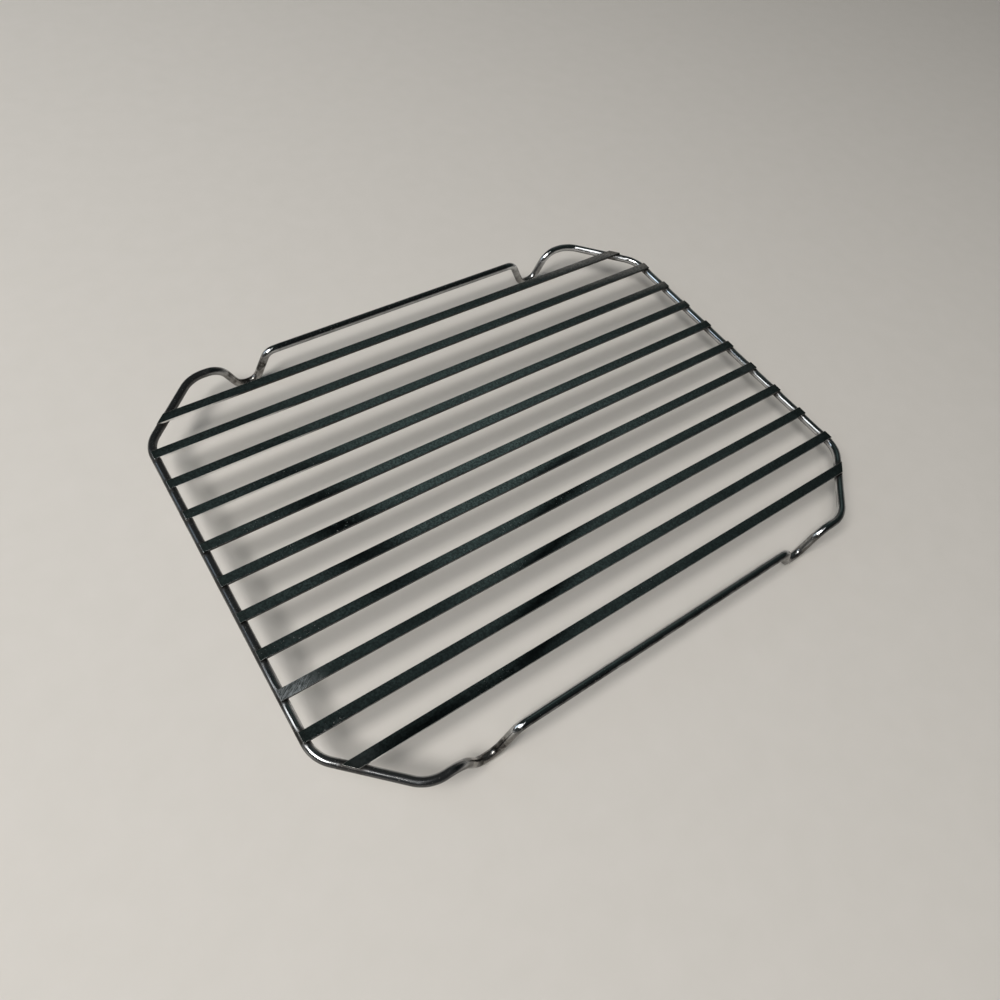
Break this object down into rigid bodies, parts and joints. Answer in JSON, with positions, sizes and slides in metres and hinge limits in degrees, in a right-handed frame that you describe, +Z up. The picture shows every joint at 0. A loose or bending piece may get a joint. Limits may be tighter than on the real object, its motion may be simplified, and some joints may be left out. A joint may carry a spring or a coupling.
{
  "type": "broiler pan rack",
  "caption": "Flat rack for a broiler pan: a closed frame of bent round wire with cut corners and dipped feet, carrying welded flat slats that hold food above the drippings.",
  "frame": {"origin": "under the middle of the rack, on the plane that its four feet stand on", "axes": "+X along the slats, +Y across them, +Z up from the feet to the slats"},
  "size_m": [0.3538, 0.2728, 0.0249],
  "materials": {
    "frame_chrome": "bright chrome plate on drawn round wire",
    "slat_chrome": "worn bright chrome plate on rolled flat bar, with fine scuffs and baked-on specks"
  },
  "bodies": {
    "root": {"frame_wire": "frame_chrome", "slat_01": "slat_chrome", "slat_02": "slat_chrome", "slat_03": "slat_chrome", "slat_04": "slat_chrome", "slat_05": "slat_chrome", "slat_06": "slat_chrome", "slat_07": "slat_chrome", "slat_08": "slat_chrome", "slat_09": "slat_chrome", "slat_10": "slat_chrome", "slat_11": "slat_chrome"}
  },
  "joints": []
}
